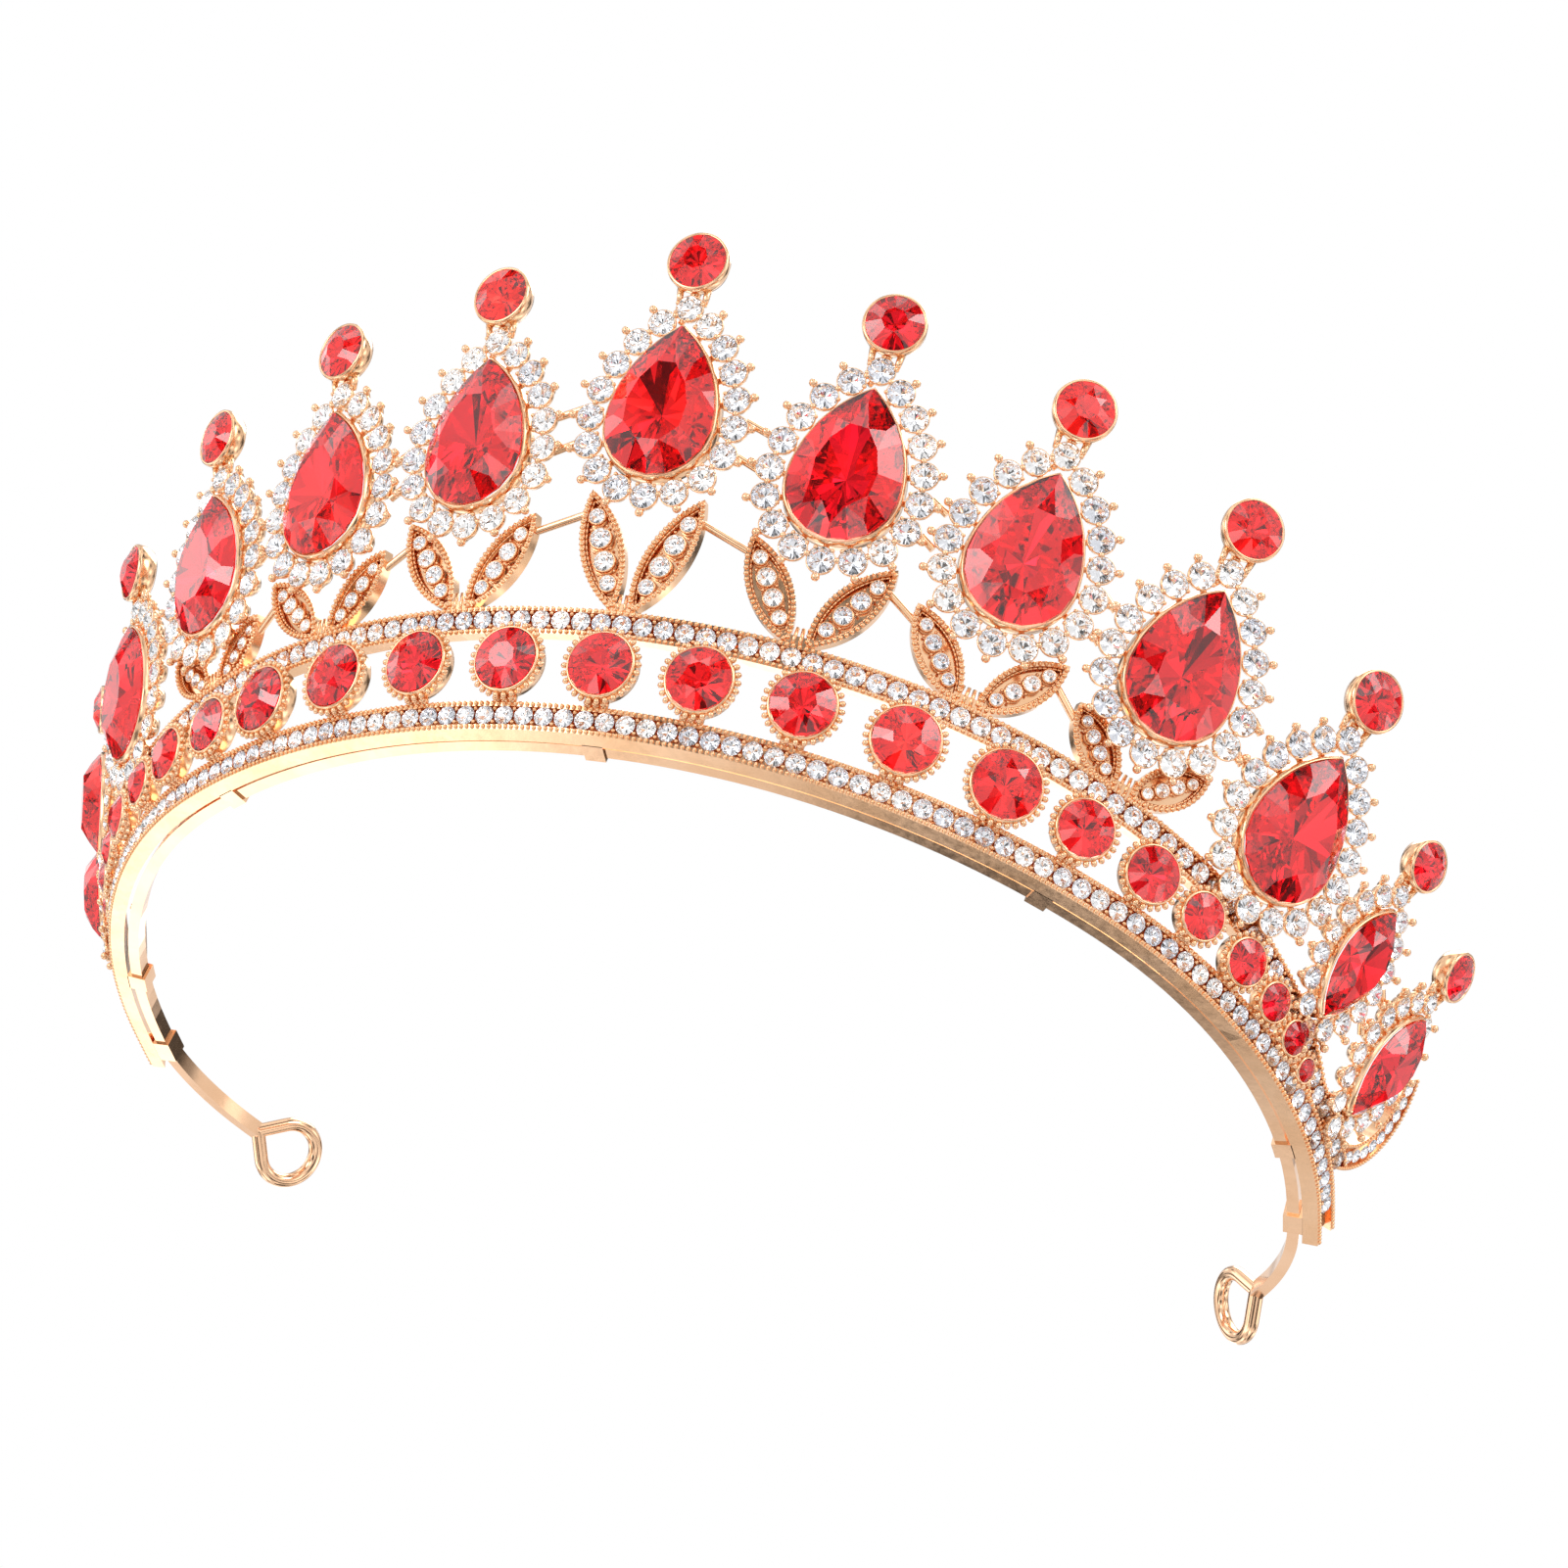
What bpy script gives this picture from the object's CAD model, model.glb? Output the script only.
"""Looks of the crown: castings, faceted stones, beading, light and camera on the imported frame.

Lengths are in millimetres until a mesh is made, and then in metres, in the frame of the CAD model.
"""
import math

import bpy
import numpy as np
from mathutils import Matrix, Vector


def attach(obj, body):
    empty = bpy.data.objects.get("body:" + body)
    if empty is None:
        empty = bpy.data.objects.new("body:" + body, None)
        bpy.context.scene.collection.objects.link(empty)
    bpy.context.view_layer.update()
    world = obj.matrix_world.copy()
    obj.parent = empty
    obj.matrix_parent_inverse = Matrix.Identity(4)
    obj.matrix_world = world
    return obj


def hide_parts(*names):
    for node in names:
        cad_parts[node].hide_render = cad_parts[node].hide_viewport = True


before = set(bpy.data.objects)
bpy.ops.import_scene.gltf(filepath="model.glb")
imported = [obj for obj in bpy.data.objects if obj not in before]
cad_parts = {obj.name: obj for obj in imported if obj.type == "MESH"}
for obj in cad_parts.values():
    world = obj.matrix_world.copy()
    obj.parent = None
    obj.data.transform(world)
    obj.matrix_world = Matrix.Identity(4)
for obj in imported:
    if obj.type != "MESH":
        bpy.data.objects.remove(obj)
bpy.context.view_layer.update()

MM = 0.001

# ---------- Dimensions, as in the CAD model ----------

ORIGIN_Y = 32.4
ARCS = ((79.0, 54.0), (52.0, 47.0), (148.0, 60.0))  # radius and length of the band's three arcs
LEAN = math.radians(23)

RAIL_FRONT = 1.2
RAIL_MIDDLE = 2.0
RAIL_TOP = 3.5
RAIL_STONE = 1.9
RAIL_PITCH = 2.15
RAIL_REACH = 108
RAIL_STONE_REACH = 103
UPPER_REACH = 100

CHATON_S = (0, 9.7, 19.7, 29.7, 39.8, 48.2, 55.9, 62.2, 68.6, 74.0, 78.7, 83.0)
CHATON_R = (3.3, 3.3, 3.3, 3.4, 3.5, 2.9, 2.8, 2.3, 2.3, 1.9, 1.7, 1.2)

PLATE_BACK = 1.2
CUP_TOP = 2.3
GIRDLE = 3.1
CLUSTER_S = (0, 17.1, 33.7, 50.2, 66, 79.3, 91.2)
CLUSTER_H = (36.1, 32.6, 30.2, 27, 20.2, 15.6, 13.3)
PEAR_CLUSTERS = 5
PEAR_R = 5.75
PEAR_TIP = 11.05
PEAR_DROP = 2.0
OVAL_R = 3.2
OVAL_TIP = 7.0
PRONG_REACH = 1.9
ROUND_TABLE = 0.44  # table of a round red stone, as a share of its radius

LEAF_SPREAD = (6.1, 7.6, 8.2, 7.8)
LEAF_TIP_H = (27, 24.2, 21.6, 18.8)
LEAF_ROOT = 0.9
LEAF_HALF = 2.3
LEAF_BACK = -0.2
LEAF_FRONT = 1.0
LEAF_LENGTH = 14  # the leaf that the stones' sizes are given for
# place as a share of the leaf's length, and radius
LEAF_STONES = ((0.23, 0.84), (0.41, 1.08), (0.6, 1.08), (0.78, 0.82))

SCROLL_S = 93.5
SCROLL_H = 12.6
SCROLL_RADIUS = 8.6
SCROLL_WIDTH = 2.9
SCROLL_FROM = -66
SCROLL_TO = 44
SCROLL_STONES = 10
SCROLL_STONE_R = 0.75
SCROLL_MARGIN = 8  # degrees from an end of the scroll to its first stone

# ---------- Places on the band ----------


def plan(s):
    """Place and heading of the band at distance s from the middle of the forehead."""
    side = -1 if s < 0 else 1
    x, y, heading, left = 0.0, -ORIGIN_Y, 0.0, abs(s)
    for radius, length in ARCS:
        step = min(left, length)
        turned = heading + step / radius
        x += radius * (math.sin(turned) - math.sin(heading))
        y -= radius * (math.cos(turned) - math.cos(heading))
        heading = turned
        left -= step
    return side * x, y, side * heading


def on_face(s, h, d=0.0):
    """Matrix of a place on the leaning face: x along the band, y up the face, z outwards."""
    x, y, heading = plan(s)
    along = Vector((math.cos(heading), math.sin(heading), 0))
    outwards = Vector((math.sin(heading), -math.cos(heading), 0))
    upright = Vector((0, 0, 1))
    up_face = outwards * math.sin(LEAN) + upright * math.cos(LEAN)
    off_face = outwards * math.cos(LEAN) - upright * math.sin(LEAN)
    place = Matrix((along, up_face, off_face)).transposed().to_4x4()
    place.translation = Vector((x, y, 0)) + up_face * h + off_face * d
    return place


def move(x, y, z=0.0, turn=0.0):
    return Matrix.Translation((x, y, z)) @ Matrix.Rotation(turn, 4, "Z")


def upper_h(s):
    a = s / 100
    return max(12.5 - 1.4 * a**2 - 12.2 * a**4, RAIL_TOP + 1)


def upper_bottom(s):
    return max(upper_h(s) - 1.5, RAIL_TOP)


def upper_top(s):
    return upper_h(s) + 1.4


def spread(first, last, step):
    """Places from first to last, at most step apart."""
    count = int((last - first) / step + 1e-6)
    return [first + k * step for k in range(count + 1)]


def sides(i):
    return (1,) if i == 0 else (-1, 1)


def side_name(stem, i, side):
    if i == 0:
        return f"{stem}_centre"
    return f"{stem}_{'left' if side < 0 else 'right'}_{i}"


# ---------- Outlines of the large stones ----------


def wide_arc(half_width, tip):
    return (half_width**2 + tip**2) / (2 * half_width)


PEAR_ARC = wide_arc(PEAR_R, PEAR_TIP)
OVAL_ARC = wide_arc(OVAL_R, OVAL_TIP)


def is_pear(i):
    return i < PEAR_CLUSTERS


def outline_h(i):
    return CLUSTER_H[i] - (PEAR_DROP if is_pear(i) else 0)


def top_rise(i):
    return 18.6 if is_pear(i) else 13.6


def top_r(i):
    return 3.05 if is_pear(i) else 2.55


def halo_gap(i):
    return 2.1 if is_pear(i) else 1.75


def halo_r(i):
    return 1.44 if is_pear(i) else 1.2


def halo_count(i):
    return 18 if is_pear(i) else 16


def side_outline(pear, grow, steps):
    """The right side of a stone's outline from its tip down to its foot, grown by some distance."""
    half, arc = (PEAR_R, PEAR_ARC) if pear else (OVAL_R, OVAL_ARC)
    tip = math.acos((arc - half) / (arc + grow))
    last = 0 if pear else -tip
    points = []
    for k in range(steps + 1):
        t = tip + (last - tip) * k / steps
        points.append(((arc + grow) * math.cos(t) - (arc - half), (arc + grow) * math.sin(t)))
    if pear:
        for k in range(1, steps + 1):
            t = math.pi / 2 * k / steps
            points.append(((half + grow) * math.cos(t), -(half + grow) * math.sin(t)))
    return points


def outline(pear, grow, steps):
    """A stone's whole outline, clockwise from its tip."""
    right = side_outline(pear, grow, steps)
    right[0] = (0.0, right[0][1])
    right[-1] = (0.0, right[-1][1])
    return right + [(-x, y) for x, y in right[-2:0:-1]]


def halo_places(i):
    """Place and outward heading of each halo stone, clockwise from the tip."""
    half, arc = (PEAR_R, PEAR_ARC) if is_pear(i) else (OVAL_R, OVAL_ARC)
    ring = arc + halo_gap(i)
    tip = math.acos((arc - half) / ring)
    foot = half + halo_gap(i)
    half_length = ring * tip + foot * math.pi / 2 if is_pear(i) else 2 * ring * tip
    places = []
    for k in range(halo_count(i)):
        u = 2 * half_length * k / halo_count(i)
        v = min(u, 2 * half_length - u)
        t = tip - v / ring
        if is_pear(i) and t < 0:
            t = -(v - ring * tip) / foot
            x, y = foot * math.cos(t), foot * math.sin(t)
        else:
            x, y = ring * math.cos(t) - (arc - half), ring * math.sin(t)
        places.append((x, y, t) if u <= half_length else (-x, y, math.pi - t))
    return places


# ---------- Mesh making ----------


class Shape:
    """Collects closed surfaces and turns them into one Blender object."""

    def __init__(self):
        self.points = []
        self.faces = []
        self.slots = []
        self.smooth = []
        self.count = 0

    def add(self, part, place=None, slot=0, smooth=True):
        points, faces, *slots = part
        points = np.asarray(points, float)
        if place is not None:
            m = np.array(place)
            points = points @ m[:3, :3].T + m[:3, 3]
        self.points.append(points)
        for face in faces:
            self.faces.append([k + self.count for k in face])
        self.slots += slots[0] if slots else [slot] * len(faces)
        self.smooth += [smooth] * len(faces)
        self.count += len(points)

    def finish(self, name, materials, slot, replaced=()):
        mesh = bpy.data.meshes.new(name)
        mesh.from_pydata((np.concatenate(self.points) * MM).tolist(), [], self.faces)
        for material in materials:
            mesh.materials.append(material)
        mesh.polygons.foreach_set("material_index", self.slots)
        mesh.polygons.foreach_set("use_smooth", self.smooth)
        mesh.update()
        piece = bpy.data.objects.new(name, mesh)
        bpy.context.scene.collection.objects.link(piece)
        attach(piece, "root")
        if replaced:
            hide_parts(*replaced)
        return piece


def rings_to_surface(rings, wrap):
    """Points and faces of a surface over closed rings. It closes on itself, or gets a lid at each end."""
    size = len(rings[0])
    points = [p for ring in rings for p in ring]
    faces = []
    for i in range(len(rings) if wrap else len(rings) - 1):
        j = (i + 1) % len(rings)
        for k in range(size):
            n = (k + 1) % size
            faces.append([i * size + k, i * size + n, j * size + n, j * size + k])
    if not wrap:
        faces.append(list(range(size))[::-1])
        faces.append([(len(rings) - 1) * size + k for k in range(size)])
    return points, faces


def lathe(profile, segments, wrap=True):
    """A profile of radius and height turned about z. Going up its outside keeps the faces outwards."""
    turns = [2 * math.pi * k / segments for k in range(segments)]
    rings = [[(r * math.cos(t), r * math.sin(t), z) for t in turns] for r, z in profile]
    return rings_to_surface(rings, wrap)


def ball(radius, across=1.0, segments=8, levels=5):
    """A bead, drawn out along its own x."""
    heights = [math.pi * (k / levels - 0.5) for k in range(1, levels)]
    profile = [(radius * math.cos(t), radius * math.sin(t)) for t in heights]
    points, faces = lathe(profile, segments, wrap=False)
    faces = faces[:-2]
    bottom, top = len(points), len(points) + 1
    last = (levels - 2) * segments
    for k in range(segments):
        n = (k + 1) % segments
        faces.append([bottom, n, k])
        faces.append([top, last + k, last + n])
    points += [(0, 0, -radius), (0, 0, radius)]
    return [(x * across, y, z) for x, y, z in points], faces


def rod(start, end, r1, r2=None, segments=10):
    """A round bar between two points, tapering from r1 to r2."""
    start, end = Vector(start), Vector(end)
    turn = (end - start).to_track_quat("Z", "Y")
    rings = []
    for centre, radius in ((start, r1), (end, r1 if r2 is None else r2)):
        ring = []
        for k in range(segments):
            t = 2 * math.pi * k / segments
            offset = Vector((radius * math.cos(t), radius * math.sin(t), 0))
            ring.append(tuple(centre + turn @ offset))
        rings.append(ring)
    return rings_to_surface(rings, wrap=False)


def rim(rings_at, profile):
    """A closed band around an outline. profile holds its growth and height; rings_at gives the outline."""
    rings = []
    for grow, z in profile:
        rings.append([(x, y, z) for x, y in reversed(rings_at(grow))])
    return rings_to_surface(rings, wrap=True)


def along_path(points, step):
    """Evenly spaced places and headings along a polyline."""
    points = np.array(points, float)
    lengths = np.linalg.norm(np.diff(points, axis=0), axis=1)
    reach = np.concatenate([[0], np.cumsum(lengths)])
    count = max(2, round(reach[-1] / step))
    where = (np.arange(count) + 0.5) * reach[-1] / count
    x = np.interp(where, reach, points[:, 0])
    y = np.interp(where, reach, points[:, 1])
    part = np.clip(np.searchsorted(reach, where) - 1, 0, len(lengths) - 1)
    run = points[part + 1] - points[part]
    return list(zip(x, y, np.arctan2(run[:, 1], run[:, 0])))


# ---------- Stones ----------

CROWN, PAVILION = 0, 1


def brilliant(girdle, table, star, crown_z, depth, culet=(0.0, 0.0)):
    """A cut stone over any girdle outline with an even number of corners.

    table and star are shares of the way from the culet's axis out to the girdle. The first material
    is the glass above the girdle, and the second is the foil behind it.
    """
    count = len(girdle)
    mains = count // 2
    centre = np.array(culet)
    rim_points = np.array(girdle, float)

    def ring(points, share, z):
        return [(*(centre + (p - centre) * share), z) for p in points]

    corners, halves = rim_points[0::2], rim_points[1::2]
    edge = 0.02 * depth
    bend = math.cos(math.pi / count)
    star_z = crown_z * (1 - (star * bend - table) / (1 - table))
    pavilion_mid = 0.45
    mid_z = -depth + (depth - edge) * pavilion_mid * bend
    points = ring(corners, table, crown_z)
    points += ring(halves, star, star_z)
    points += ring(rim_points, 1, edge)
    points += ring(rim_points, 1, -edge * 3)
    points += ring(halves, pavilion_mid, mid_z)
    points.append((*centre, -depth))
    stars, top, bottom = mains, 2 * mains, 2 * mains + count
    mids, tip = 2 * mains + 2 * count, 3 * mains + 2 * count
    faces = [list(range(mains))]
    slots = [CROWN]
    for k in range(mains):
        n, b = (k + 1) % mains, (k - 1) % mains
        corner, half, after = 2 * k, 2 * k + 1, (2 * k + 2) % count
        crown = [
            [k, stars + k, n],
            [k, stars + b, top + corner, stars + k],
            [stars + k, top + corner, top + half],
            [stars + k, top + half, top + after],
            [top + corner, bottom + corner, bottom + half, top + half],
            [top + half, bottom + half, bottom + after, top + after],
        ]
        pavilion = [
            [mids + k, bottom + half, bottom + corner],
            [mids + k, bottom + after, bottom + half],
            [tip, mids + k, bottom + corner, mids + b],
        ]
        faces += crown + pavilion
        slots += [CROWN] * len(crown) + [PAVILION] * len(pavilion)
    return points, faces, slots


def round_girdle(radius, count=16):
    turns = [2 * math.pi * k / count for k in range(count)]
    return [(radius * math.cos(t), radius * math.sin(t)) for t in turns]


def round_stone(radius, table=0.5):
    return brilliant(round_girdle(radius), table, 0.77, 0.3 * radius, 0.68 * radius)


def large_stone(pear):
    """A pear or pointed oval, with its outline's corners spaced evenly around it."""
    fine = outline(pear, 0, 40)
    even = along_path(fine + fine[:1], 0.2)
    count = 20 if pear else 16
    total = len(even)
    girdle = [even[round(total * k / count) % total][:2] for k in range(count)]
    girdle[0] = fine[0]
    foot = min(girdle, key=lambda p: p[1])
    girdle[girdle.index(foot)] = (0.0, fine[len(fine) // 2][1])
    half = PEAR_R if pear else OVAL_R
    return brilliant(girdle[::-1], 0.58, 0.81, 1.8, half * 0.5, (0.0, 1.0 if pear else 0.0))


# ---------- Materials ----------


class Nodes:
    """Short calls for making a material's nodes."""

    def __init__(self, name):
        self.material = bpy.data.materials.new(name)
        self.material.use_nodes = True
        self.tree = self.material.node_tree
        self.shader = self.tree.nodes["Principled BSDF"]
        self.coordinates = self.add("ShaderNodeTexCoord").outputs["Object"]

    def add(self, kind):
        return self.tree.nodes.new(kind)

    def link(self, out, into):
        self.tree.links.new(out, into)

    def noise(self, scale, detail=2.0, roughness=0.5):
        node = self.add("ShaderNodeTexNoise")
        node.inputs["Scale"].default_value = scale
        node.inputs["Detail"].default_value = detail
        node.inputs["Roughness"].default_value = roughness
        self.link(self.coordinates, node.inputs["Vector"])
        return node.outputs["Fac"]

    def ramp(self, factor, stops):
        node = self.add("ShaderNodeValToRGB")
        elements = node.color_ramp.elements
        while len(elements) < len(stops):
            elements.new(0.5)
        for element, (place, colour) in zip(elements, stops):
            element.position = place
            element.color = (*colour, 1)
        self.link(factor, node.inputs["Fac"])
        return node.outputs["Color"]

    def between(self, factor, low, high):
        node = self.add("ShaderNodeMapRange")
        node.inputs["From Min"].default_value = 0.3
        node.inputs["From Max"].default_value = 0.7
        node.inputs["To Min"].default_value = low
        node.inputs["To Max"].default_value = high
        self.link(factor, node.inputs["Value"])
        return node.outputs["Result"]

    def bump(self, height, strength, distance):
        node = self.add("ShaderNodeBump")
        node.inputs["Strength"].default_value = strength
        node.inputs["Distance"].default_value = distance
        self.link(height, node.inputs["Height"])
        self.link(node.outputs["Normal"], self.shader.inputs["Normal"])

    def set(self, **values):
        for key, value in values.items():
            self.shader.inputs[key.replace("_", " ")].default_value = value


def plated(name, pale, deep, smooth, rough, bump):
    """Champagne-gold plating: slow drifts of tint, fine polish marks and a slightly uneven surface."""
    nodes = Nodes(name)
    tint = nodes.ramp(nodes.noise(160, 3), [(0.35, deep), (0.62, pale)])
    nodes.link(tint, nodes.shader.inputs["Base Color"])
    nodes.link(nodes.between(nodes.noise(1100, 4, 0.65), smooth, rough), nodes.shader.inputs["Roughness"])
    nodes.bump(nodes.noise(700, 4, 0.6), bump, 0.00006)
    nodes.set(Metallic=1.0)
    return nodes.material


def glass(name, low, high, ior):
    """The cut glass above a stone's girdle."""
    nodes = Nodes(name)
    tint = nodes.ramp(nodes.noise(70, 1), [(0.35, low), (0.65, high)])
    nodes.link(tint, nodes.shader.inputs["Base Color"])
    nodes.link(nodes.between(nodes.noise(2500, 2), 0.0, 0.03), nodes.shader.inputs["Roughness"])
    nodes.set(Transmission_Weight=1.0, IOR=ior)
    return nodes.material


def foil(name, stops, rough):
    """The lacquered foil behind a stone."""
    nodes = Nodes(name)
    tint = nodes.ramp(nodes.noise(110, 1), stops)
    nodes.link(tint, nodes.shader.inputs["Base Color"])
    nodes.link(nodes.between(nodes.noise(1500, 3), 0.03, rough), nodes.shader.inputs["Roughness"])
    nodes.set(Metallic=1.0)
    return nodes.material


casting_gold = plated("casting_gold", (0.91, 0.58, 0.36), (0.85, 0.51, 0.29), 0.12, 0.22, 0.12)
bead_gold = plated("bead_gold", (0.9, 0.54, 0.31), (0.83, 0.46, 0.24), 0.12, 0.22, 0.08)
band_gold = plated("band_gold", (0.9, 0.58, 0.37), (0.86, 0.53, 0.32), 0.07, 0.16, 0.08)
red_crown = glass("red_crown", (0.86, 0.012, 0.04), (0.95, 0.03, 0.035), 1.75)
red_foil = foil(
    "red_foil", [(0.35, (0.9, 0.35, 0.45)), (0.55, (0.98, 0.5, 0.5)), (0.68, (1.0, 0.62, 0.34))], 0.06
)
clear_crown = glass("clear_crown", (0.95, 0.96, 0.98), (1.0, 1.0, 1.0), 1.56)
clear_foil = foil("clear_foil", [(0.35, (0.86, 0.87, 0.9)), (0.6, (0.98, 0.97, 0.96))], 0.05)
RED = (red_crown, red_foil)
CLEAR = (clear_crown, clear_foil)

# ---------- Rails ----------


def lower_stone_places():
    return spread(-RAIL_STONE_REACH + RAIL_PITCH / 2, RAIL_STONE_REACH, RAIL_PITCH)


def upper_stone_places():
    return spread(-UPPER_REACH + 1.5, UPPER_REACH - 1, RAIL_PITCH * 0.96)


def make_rails():
    beading = Shape()
    bead = ball(0.3, across=0.8)
    bead_step = 0.62
    for s in spread(-RAIL_REACH + 0.4, RAIL_REACH - 0.4, bead_step):
        for h in (RAIL_MIDDLE - 1.24, RAIL_MIDDLE + 1.26):
            beading.add(bead, on_face(s, h, RAIL_FRONT))
    for s in spread(-UPPER_REACH + 0.4, UPPER_REACH - 0.4, bead_step):
        for rise in (-1.24, 1.2):
            if upper_h(s) + rise > RAIL_TOP:
                beading.add(bead, on_face(s, upper_h(s) + rise, RAIL_FRONT))
    beading.finish("rail_beading", [bead_gold], "gold_casting")

    claws = Shape()
    claw = ball(0.24, levels=4, segments=6)
    for places, height in (
        (lower_stone_places(), lambda s: RAIL_MIDDLE),
        (upper_stone_places(), upper_h),
    ):
        for a, b in zip(places, places[1:]):
            s = (a + b) / 2
            for rise in (-0.72, 0.72):
                claws.add(claw, on_face(s, height(s) + rise, RAIL_FRONT))
    claws.finish("rail_claws", [bead_gold], "gold_casting")

    stone = round_stone(RAIL_STONE / 2 + 0.06)
    lower = Shape()
    for s in lower_stone_places():
        lower.add(stone, on_face(s, RAIL_MIDDLE, RAIL_FRONT) @ move(0, 0, 0, s), smooth=False)
    lower.finish("lower_rail_gems", CLEAR, "clear_stone", ["lower_rail_stones"])
    upper = Shape()
    for s in upper_stone_places():
        upper.add(stone, on_face(s, upper_h(s), RAIL_FRONT) @ move(0, 0, 0, s), smooth=False)
    upper.finish("upper_rail_gems", CLEAR, "clear_stone", ["upper_rail_stones"])


# ---------- Round stones between the rails ----------


def bezel_profile(radius, depth):
    """A cup with a rolled lip that just holds the stone's edge."""
    wall = radius + 0.32
    return (
        (0.6 * radius, 0.0),
        (wall - 0.25, 0.0),
        (wall, 0.3),
        (wall, depth - 0.3),
        (wall - 0.06, depth - 0.08),
        (wall - 0.17, depth + 0.02),
        (radius + 0.05, depth - 0.01),
        (radius + 0.01, depth - 0.15),
        (0.75 * radius, 0.4),
        (0.6 * radius, 0.3),
    )


def make_chatons():
    bezels = Shape()
    stones = Shape()
    bead = ball(0.33, across=1.15)
    for i, (s, radius) in enumerate(zip(CHATON_S, CHATON_R)):
        h = (RAIL_TOP + upper_bottom(s)) / 2 + 0.3
        depth = min(2.2, radius)
        drop = h - RAIL_TOP
        cup = lathe(bezel_profile(radius, depth), 48)
        count = round(2 * math.pi * (radius + 0.6) / 0.86)
        for side in sides(i):
            place = on_face(side * s, h, RAIL_FRONT - 0.6)
            bezels.add(cup, place)
            for k in range(count):
                t = 2 * math.pi * (k + 0.5) / count
                out = radius + 0.56
                spot = move(out * math.cos(t), out * math.sin(t), depth - 0.42, t)
                bezels.add(bead, place @ spot)
            for x in (-0.26 * radius, 0, 0.26 * radius):
                bezels.add(rod((x, -drop - 0.1, 0.45), (x, -radius, 0.45), 0.42), place)
                bezels.add(bead, place @ move(x, -drop + 0.25, 0.95))
            turn = 0.7 * i + side
            stones.add(round_stone(radius, ROUND_TABLE), place @ move(0, 0, depth, turn), smooth=False)
    bezels.finish("bezel_castings", [casting_gold], "gold_casting", ["band_bezels"])
    stones.finish("band_gems", RED, "red_stone", ["band_stones"])


# ---------- Clusters ----------


def seat_profile():
    """Wall round a large stone, on a ledge, with a thin rolled lip."""
    top = GIRDLE - PLATE_BACK
    return (
        (-1.0, 0.0),
        (0.3, 0.0),
        (0.48, 0.2),
        (0.4, top - 0.7),
        (0.26, top - 0.25),
        (0.16, top - 0.12),
        (0.06, top - 0.16),
        (0.04, top - 0.4),
        (-0.1, 0.5),
        (-1.0, 0.4),
    )


def cup_profile(radius):
    top = CUP_TOP - PLATE_BACK
    return (
        (0.3 * radius, -0.15),
        (0.62 * radius, -0.15),
        (radius - 0.02, 0.45),
        (radius + 0.1, top - 0.2),
        (radius + 0.08, top - 0.02),
        (radius, top + 0.01),
        (radius - 0.03, top - 0.12),
        (0.5 * radius, 0.3),
        (0.3 * radius, 0.2),
    )


def top_cup_profile(radius):
    top = GIRDLE - PLATE_BACK + 0.1
    return (
        (0.02, -0.4),
        (0.72 * radius, -0.4),
        (0.95 * radius, 0.0),
        (radius + 0.25, 0.9),
        (radius + 0.33, top - 0.3),
        (radius + 0.24, top + 0.02),
        (radius + 0.08, top + 0.1),
        (radius - 0.03, top + 0.04),
        (radius - 0.04, top - 0.3),
        (0.6 * radius, 0.1),
        (0.02, 0.1),
    )


def cluster_casting(i):
    """Seat, halo cups, stems, ball prongs, claws, neck and top cup, in the cluster's own place."""
    part = Shape()
    pear = is_pear(i)
    radius = halo_r(i)
    top = CUP_TOP - PLATE_BACK
    places = halo_places(i)
    part.add(rim(lambda grow: outline(pear, grow, 28), seat_profile()))
    cup = lathe(cup_profile(radius), 24)
    prong = ball(0.46, segments=12, levels=8)
    claw = ball(0.24, segments=8, levels=5)
    for k, (x, y, heading) in enumerate(places):
        place = move(x, y, 0, heading)
        part.add(cup, place)
        part.add(rod((-halo_gap(i) + 0.3, 0, 0.35), (-0.7 * radius, 0, 0.35), 0.34), place)
        for across in (-0.62, 0.62):
            spot = move(-0.82 * radius, across * radius, top + 0.08)
            part.add(claw, place @ spot)
        if k > 0:
            part.add(rod((0.8 * radius, 0, 0.45), (PRONG_REACH, 0, top), 0.36, 0.27), place)
            part.add(prong, place @ move(PRONG_REACH, 0, top))
        after = places[(k + 1) % len(places)]
        middle = move((x + after[0]) / 2, (y + after[1]) / 2, top - 0.02)
        part.add(ball(0.34, segments=8, levels=6), middle)
    tip_y = places[0][1]
    rise = top_rise(i)
    for side in (-1, 1):
        waist = (side * 0.95 * radius, tip_y + 0.35 * radius, 0.7)
        shoulder = (side * 0.5 * top_r(i), rise - 0.86 * top_r(i), 0.9)
        part.add(rod(waist, shoulder, 0.3, 0.42))
        part.add(claw, move(*waist[:2], top + 0.05))
    neck_foot = (0, tip_y + 0.95 * radius, 0.3)
    neck_top = (0, rise - 0.8 * top_r(i), 0.4)
    part.add(rod(neck_foot, neck_top, 0.4, 0.8))
    part.add(lathe(top_cup_profile(top_r(i)), 48), move(0, rise))
    return np.concatenate(part.points), part.faces


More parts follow.
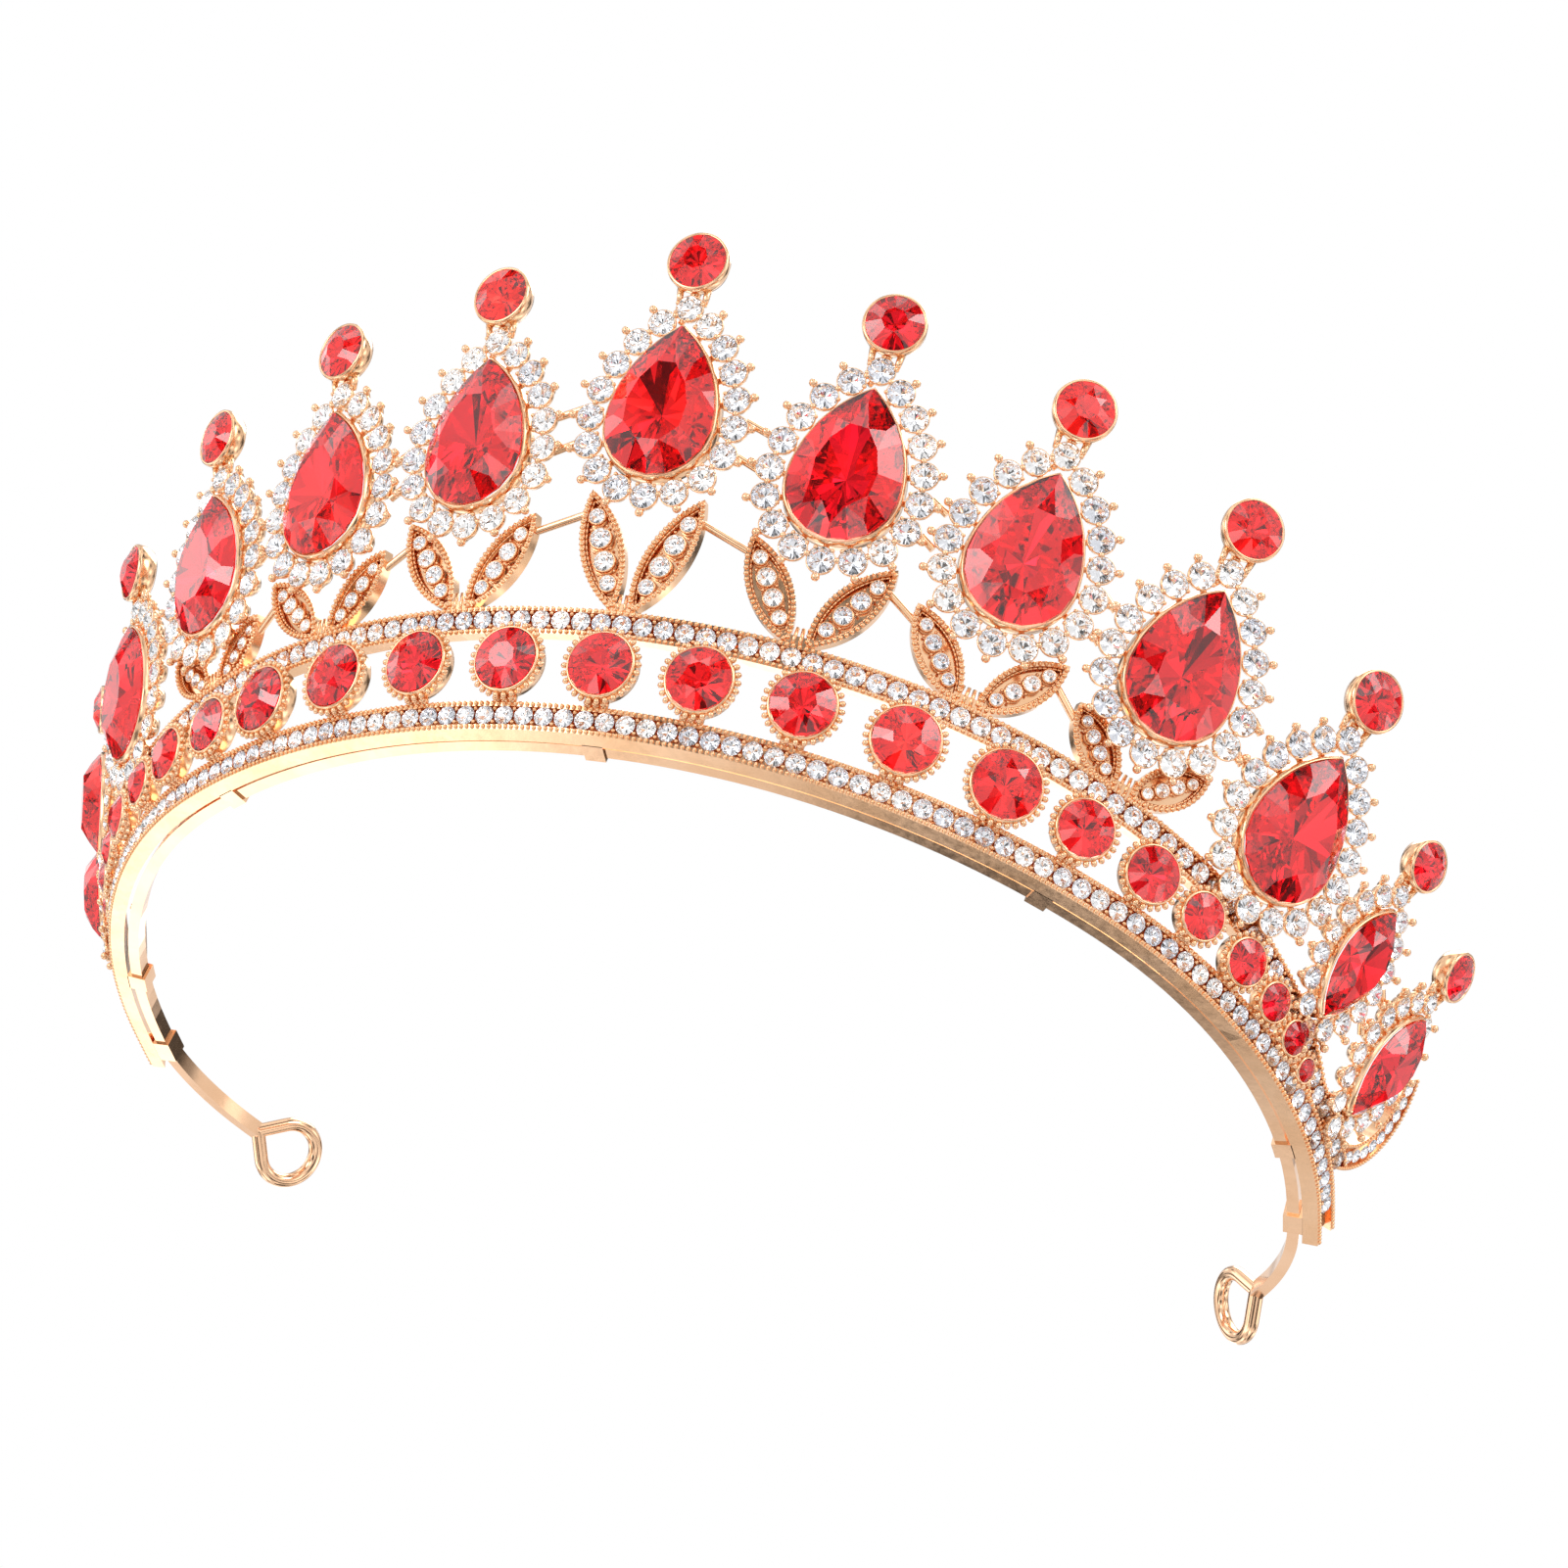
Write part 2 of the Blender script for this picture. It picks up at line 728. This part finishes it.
def make_clusters():
    halo_shapes = {}
    tops = Shape()
    for i, s in enumerate(CLUSTER_S):
        casting = cluster_casting(i)
        pear = is_pear(i)
        gem = large_stone(pear)
        halo_stone = round_stone(halo_r(i) - 0.02)
        for side in sides(i):
            plate = on_face(side * s, outline_h(i), PLATE_BACK)
            frame_piece = Shape()
            frame_piece.add(casting, plate)
            name = side_name("halo_casting", i, side)
            node = side_name("cluster_frame", i, side)
            frame_piece.finish(name, [casting_gold], "gold_casting", [node])

            stone = Shape()
            stone.add(gem, on_face(side * s, outline_h(i), GIRDLE), smooth=False)
            node = side_name("pear_stone" if pear else "oval_stone", i, side)
            stone.finish(node.replace("stone", "gem"), RED, "red_stone", [node])

            rise = on_face(side * s, outline_h(i) + top_rise(i), GIRDLE + 0.1)
            tops.add(round_stone(top_r(i), ROUND_TABLE), rise @ move(0, 0, 0, i * side), smooth=False)

            first = i if i % 2 or i == 0 else i - 1
            node = side_name("halo_stones", first, side)
            shape = halo_shapes.setdefault(node, Shape())
            face = on_face(side * s, outline_h(i), CUP_TOP)
            for k, (x, y, heading) in enumerate(halo_places(i)):
                shape.add(halo_stone, face @ move(x, y, 0, heading + k), smooth=False)
    tops.finish("top_gems", RED, "red_stone", ["top_stones"])
    for node, shape in halo_shapes.items():
        shape.finish(node.replace("stones", "gems"), CLEAR, "clear_stone", [node])


# ---------- Leaves ----------


def leaf_run(i):
    return LEAF_SPREAD[i] - LEAF_ROOT, LEAF_TIP_H[i] - upper_top(CLUSTER_S[i])


def leaf_side(length, inset, steps=20):
    """The right edge of a leaf from root to tip, inset from its outline."""
    arc = wide_arc(LEAF_HALF, length / 2) - inset
    shift = wide_arc(LEAF_HALF, length / 2) - LEAF_HALF
    tip = math.acos(shift / arc)
    turns = [tip * (2 * k / steps - 1) for k in range(steps + 1)]
    return [(arc * math.cos(t) - shift, arc * math.sin(t) + length / 2) for t in turns]


def leaf_detail(length):
    """Beaded edge, inner line, stone seats and grains of one leaf, at its root, pointing up."""
    part = Shape()
    front = LEAF_FRONT - LEAF_BACK
    bead = ball(0.31, across=0.8)
    for side in (-1, 1):
        edge = [(side * x, y) for x, y in leaf_side(length, 0.22)]
        for x, y, heading in along_path(edge, 0.62):
            part.add(bead, move(x, y, front, heading))
        line = [(side * x, y) for x, y in leaf_side(length, 0.62)]
        for (x1, y1), (x2, y2) in zip(line, line[1:]):
            part.add(rod((x1, y1, 0.85), (x2, y2, 0.85), 0.13, segments=6))
    grain = ball(0.2, segments=6, levels=4)
    for share, size in LEAF_STONES:
        radius = size * length / LEAF_LENGTH
        seat = (
            (radius * 0.7, 0.3),
            (radius + 0.16, 0.3),
            (radius + 0.16, front - 0.15),
            (radius + 0.08, front),
            (radius, front - 0.02),
            (radius * 0.7, 0.6),
        )
        part.add(lathe(seat, 20), move(0, share * length))
    for (a, _), (b, _) in zip(LEAF_STONES, LEAF_STONES[1:]):
        for x in (-0.85, 0.85):
            part.add(grain, move(x * length / LEAF_LENGTH, (a + b) / 2 * length, 0.9))
    return np.concatenate(part.points), part.faces


def make_leaves():
    detail = Shape()
    stones = Shape()
    for i in range(len(LEAF_SPREAD)):
        across, up = leaf_run(i)
        length = math.hypot(across, up)
        slope = math.atan2(across, up)
        parts = leaf_detail(length)
        for side in sides(i):
            s = side * CLUSTER_S[i]
            foot = on_face(s, upper_top(CLUSTER_S[i]), LEAF_BACK)
            front = on_face(s, upper_top(CLUSTER_S[i]), LEAF_FRONT)
            for to in (-1, 1):
                leaf = move(to * LEAF_ROOT, 0, 0, -to * slope)
                detail.add(parts, foot @ leaf)
                for share, size in LEAF_STONES:
                    gem = round_stone(size * length / LEAF_LENGTH)
                    stones.add(gem, front @ leaf @ move(0, share * length), smooth=False)
            for x in (-1.2, -0.4, 0.4, 1.2):
                detail.add(rod((x, -0.1, 1.05), (x * 0.75, 1.9, 1.05), 0.2, segments=8), foot)
    detail.finish("leaf_beading", [bead_gold], "gold_casting")
    stones.finish("leaf_gems", CLEAR, "clear_stone", ["leaf_stones"])


# ---------- End scrolls ----------


def make_scrolls():
    detail = Shape()
    stones = Shape()
    bead = ball(0.22, across=0.9)
    for side in (-1, 1):
        mirrored = Matrix.Diagonal((side, 1, 1, 1))
        place = on_face(SCROLL_S, SCROLL_H, LEAF_FRONT)
        for radius in (SCROLL_RADIUS - SCROLL_WIDTH / 2 + 0.2, SCROLL_RADIUS + SCROLL_WIDTH / 2 - 0.2):
            step = math.degrees(0.5 / radius)
            for angle in spread(SCROLL_FROM + 1, SCROLL_TO - 1, step):
                t = math.radians(angle)
                spot = move(radius * math.cos(t), radius * math.sin(t), 0, t)
                detail.add(bead, mirrored @ place @ spot)
        turn = SCROLL_TO - SCROLL_FROM - 2 * SCROLL_MARGIN
        for k in range(SCROLL_STONES):
            share = k / (SCROLL_STONES - 1)
            t = math.radians(SCROLL_FROM + SCROLL_MARGIN + turn * share)
            spot = move(SCROLL_RADIUS * math.cos(t), SCROLL_RADIUS * math.sin(t), 0, t)
            stones.add(round_stone(SCROLL_STONE_R), mirrored @ place @ spot, smooth=False)
    detail.finish("scroll_beading", [bead_gold], "gold_casting")
    stones.finish("scroll_gems", CLEAR, "clear_stone", ["end_scroll_stones"])


make_rails()
make_chatons()
make_clusters()
make_leaves()
make_scrolls()

# Castings and bands that keep their CAD shape
BAND_NODES = (
    "inner_headband",
    "headband_clips",
    "end_ferrule_left",
    "end_ferrule_right",
    "hair_loop_left",
    "hair_loop_right",
)
for name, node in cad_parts.items():
    if node.hide_render:
        continue
    finish = band_gold if name in BAND_NODES else casting_gold
    for slot in node.material_slots:
        slot.material = finish

# ---------- Stage ----------


def make_floor():
    mesh = bpy.data.meshes.new("floor")
    reach = 3.0
    corners = [(-reach, -reach, 0), (reach, -reach, 0), (reach, reach, 0), (-reach, reach, 0)]
    mesh.from_pydata(corners, [], [(0, 1, 2, 3)])
    floor = bpy.data.objects.new("floor", mesh)
    bpy.context.scene.collection.objects.link(floor)
    nodes = Nodes("floor")
    tint = nodes.ramp(nodes.noise(3, 2), [(0.3, (0.84, 0.84, 0.84)), (0.7, (0.88, 0.88, 0.87))])
    nodes.link(tint, nodes.shader.inputs["Base Color"])
    nodes.set(Roughness=0.9)
    # the photograph looks up from below the floor, so the floor has one side only
    one_sided = nodes.add("ShaderNodeMixShader")
    side = nodes.add("ShaderNodeNewGeometry").outputs["Backfacing"]
    clear = nodes.add("ShaderNodeBsdfTransparent").outputs["BSDF"]
    nodes.link(side, one_sided.inputs["Fac"])
    nodes.link(nodes.shader.outputs["BSDF"], one_sided.inputs[1])
    nodes.link(clear, one_sided.inputs[2])
    output = nodes.tree.nodes["Material Output"]
    nodes.link(one_sided.outputs["Shader"], output.inputs["Surface"])
    mesh.materials.append(nodes.material)
    floor.visible_glossy = False
    floor.visible_transmission = False
    floor.visible_shadow = False


def make_world():
    """A white studio with a few dark cards, which only the stones and the metal see."""
    world = bpy.data.worlds.new("studio")
    bpy.context.scene.world = world
    world.use_nodes = True
    tree = world.node_tree
    background = tree.nodes["Background"]
    coordinates = tree.nodes.new("ShaderNodeTexCoord")
    noise = tree.nodes.new("ShaderNodeTexNoise")
    noise.inputs["Scale"].default_value = 2.6
    noise.inputs["Detail"].default_value = 1.0
    ramp = tree.nodes.new("ShaderNodeValToRGB")
    elements = ramp.color_ramp.elements
    elements.new(0.45)
    elements.new(0.6)
    # place on the noise and brightness: dark cards, the plain studio, bright softboxes
    levels = ((0.38, 0.08), (0.44, 0.95), (0.58, 0.95), (0.66, 2.4))
    for element, (place, light) in zip(elements, levels):
        element.position = place
        element.color = (light, light, light, 1)
    plain = tree.nodes.new("ShaderNodeBackground")
    plain.inputs["Color"].default_value = (1, 1, 1, 1)
    mix = tree.nodes.new("ShaderNodeMixShader")
    path = tree.nodes.new("ShaderNodeLightPath")
    tree.links.new(coordinates.outputs["Generated"], noise.inputs["Vector"])
    tree.links.new(noise.outputs["Fac"], ramp.inputs["Fac"])
    tree.links.new(ramp.outputs["Color"], background.inputs["Color"])
    tree.links.new(path.outputs["Is Camera Ray"], mix.inputs["Fac"])
    tree.links.new(background.outputs["Background"], mix.inputs[1])
    tree.links.new(plain.outputs["Background"], mix.inputs[2])
    tree.links.new(mix.outputs["Shader"], tree.nodes["World Output"].inputs["Surface"])


def make_light(name, place, target, size, power):
    light = bpy.data.lights.new(name, "AREA")
    light.shape = "DISK"
    light.size = size
    light.energy = power
    lamp = bpy.data.objects.new(name, light)
    lamp.location = place
    lamp.rotation_mode = "QUATERNION"
    lamp.rotation_quaternion = (Vector(target) - Vector(place)).to_track_quat("-Z", "Y")
    bpy.context.scene.collection.objects.link(lamp)


def make_camera():
    """The photograph's view: from low in front, looking up, with the camera rolled."""
    azimuth = math.radians(23.42)
    elevation = math.radians(-39.43)
    roll = math.radians(22.09)
    distance = 0.40116
    target = Vector((-0.0029, 0.0226, 0.04703))
    back = Vector((
        math.sin(azimuth) * math.cos(elevation),
        -math.cos(azimuth) * math.cos(elevation),
        math.sin(elevation),
    ))
    right = Vector((0, 0, 1)).cross(back).normalized()
    up = back.cross(right)
    x = right * math.cos(roll) + up * math.sin(roll)
    y = up * math.cos(roll) - right * math.sin(roll)
    place = Matrix((x, y, back)).transposed().to_4x4()
    place.translation = target + back * distance
    data = bpy.data.cameras.new("camera")
    data.sensor_width = 36
    data.lens = 76.71
    data.clip_start = 0.01
    data.clip_end = 50
    camera = bpy.data.objects.new("camera", data)
    bpy.context.scene.collection.objects.link(camera)
    camera.matrix_world = place
    bpy.context.scene.camera = camera


make_floor()
make_world()
make_light("key", (-0.35, -0.5, -0.1), (0, 0, 0.02), 0.3, 0.9)
make_light("fill", (0.5, -0.35, 0.3), (0, 0, 0.02), 0.35, 0.9)
make_light("top", (0.0, 0.1, 0.6), (0, 0, 0.02), 0.5, 2.0)
make_camera()
bpy.context.scene.view_settings.view_transform = "Standard"
# light is thrown back many times between a stone's foil and its facets
bpy.context.scene.cycles.max_bounces = 16
bpy.context.scene.cycles.glossy_bounces = 12
bpy.context.scene.cycles.transmission_bounces = 16
